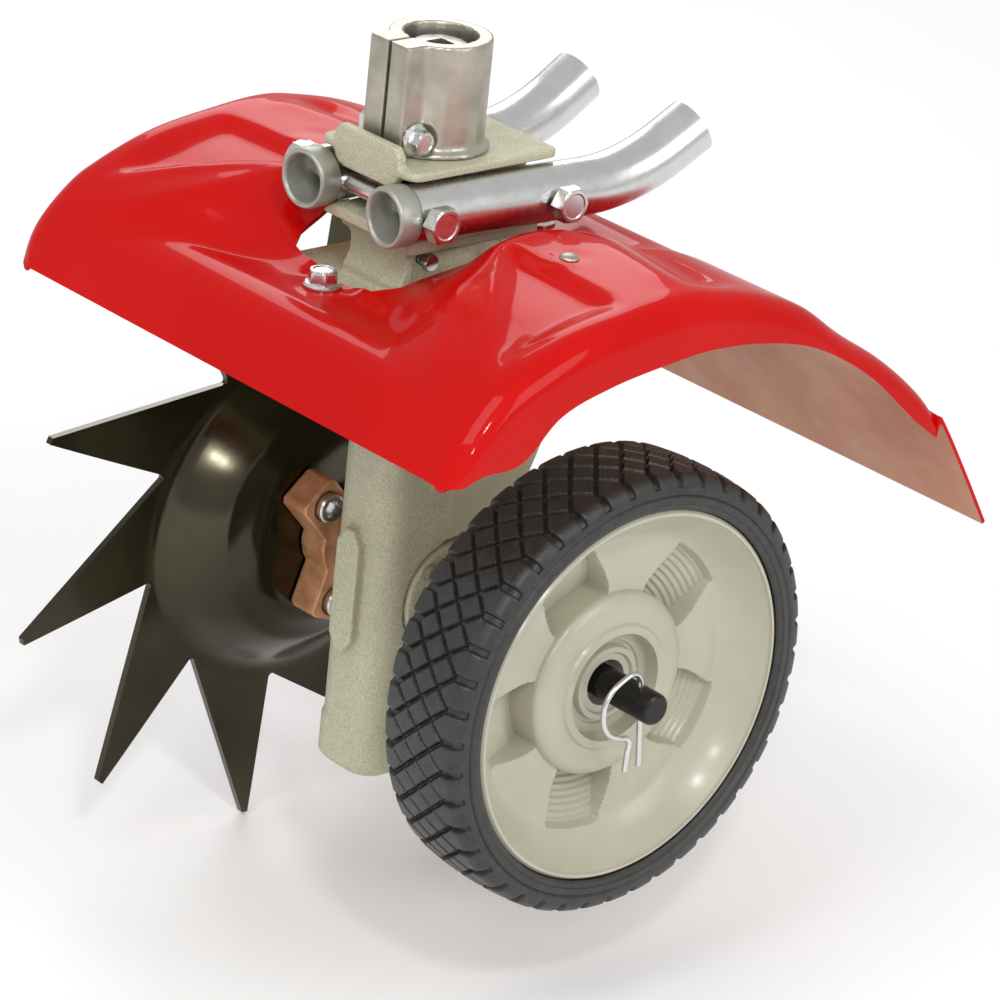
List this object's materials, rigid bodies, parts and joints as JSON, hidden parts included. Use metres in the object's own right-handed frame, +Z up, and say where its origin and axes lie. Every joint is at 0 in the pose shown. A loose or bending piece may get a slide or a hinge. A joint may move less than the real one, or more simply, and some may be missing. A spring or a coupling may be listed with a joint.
{
  "type": "wheel hoe lower unit",
  "caption": "Lower unit of a powered wheel hoe: worm gearbox under a red fender, with a star blade and a free guide wheel on one axle and two bent handle stubs.",
  "frame": {"origin": "centre of the drive housing's top face, on the drive shaft's axis, where the engine sits", "axes": "+Z up along the drive shaft, +X along the axle from the star blade to the guide wheel, +Y to the rear, where the handle stubs point"},
  "size_m": [0.264, 0.3049, 0.3586],
  "materials": {
    "cast_metal": "sand-cast, light warm grey, dull",
    "zinc_steel": "bright zinc plate",
    "grey_sleeve": "dull grey",
    "red_paint": "glossy red enamel",
    "black_steel": "black oxide, slightly glossy",
    "olive_steel": "dark olive-brown heat-treated steel with a sheen",
    "copper_cast": "copper-coloured, satin",
    "tyre_rubber": "black rubber",
    "rim_plastic": "warm grey-beige, semi-gloss",
    "bronze": "machined bronze",
    "bright_steel": "ground steel",
    "seal_rubber": "black rubber lip seal"
  },
  "bodies": {
    "housing": {"gear_housing": "cast_metal", "right_bearing_cover": "cast_metal", "drive_housing": "cast_metal", "left_handle_tube": "zinc_steel", "right_handle_tube": "zinc_steel", "handle_bolt_front": "zinc_steel", "handle_bolt_rear": "zinc_steel", "handle_nut_front": "zinc_steel", "handle_nut_rear": "zinc_steel", "handle_washer_front": "zinc_steel", "handle_washer_rear": "zinc_steel", "cover_screw_1": "zinc_steel", "cover_screw_2": "zinc_steel", "cover_screw_3": "zinc_steel", "cover_screw_4": "zinc_steel", "clamp_bolt": "zinc_steel", "clamp_nut": "zinc_steel", "grease_plug": "zinc_steel", "fender_bolt_front": "zinc_steel", "fender_bolt_rear": "zinc_steel", "fender_rivet": "zinc_steel", "left_end_sleeve": "grey_sleeve", "right_end_sleeve": "grey_sleeve", "fender": "red_paint", "left_axle_bushing": "bronze", "right_axle_bushing": "bronze", "lower_worm_bearing": "bright_steel", "upper_worm_bearing": "bright_steel", "left_axle_seal": "seal_rubber", "right_axle_seal": "seal_rubber"},
    "axle": {"axle_shaft": "black_steel", "worm_wheel": "bronze", "left_hairpin": "zinc_steel", "right_hairpin": "zinc_steel", "star_blade": "olive_steel", "star_hub": "copper_cast", "hub_screw_1": "black_steel", "hub_screw_2": "black_steel", "hub_screw_3": "black_steel", "hub_nut_1": "zinc_steel", "hub_nut_2": "zinc_steel", "hub_nut_3": "zinc_steel", "blade_spacer": "bright_steel", "blade_washer": "zinc_steel", "wheel_spacer": "bright_steel", "inner_wheel_washer": "zinc_steel"},
    "wheel": {"wheel_rim": "rim_plastic", "wheel_tyre": "tyre_rubber"},
    "worm": {"worm_shaft": "bright_steel", "drive_cup": "bright_steel"}
  },
  "joints": [
    {"name": "axle_spin", "type": "hinge", "parent": "housing", "child": "axle", "pos_m": [0, 0.018, -0.225], "axis": [1, 0, 0], "continuous": true},
    {"name": "wheel_spin", "type": "hinge", "parent": "housing", "child": "wheel", "pos_m": [0.1, 0.018, -0.225], "axis": [1, 0, 0], "continuous": true},
    {"name": "worm_spin", "type": "hinge", "parent": "housing", "child": "worm", "pos_m": [0, 0, -0.1], "axis": [0, 0, 1], "continuous": true}
  ],
  "couplings": [
    {"joint": "worm_spin", "follows": "axle_spin", "ratio": 24}
  ]
}
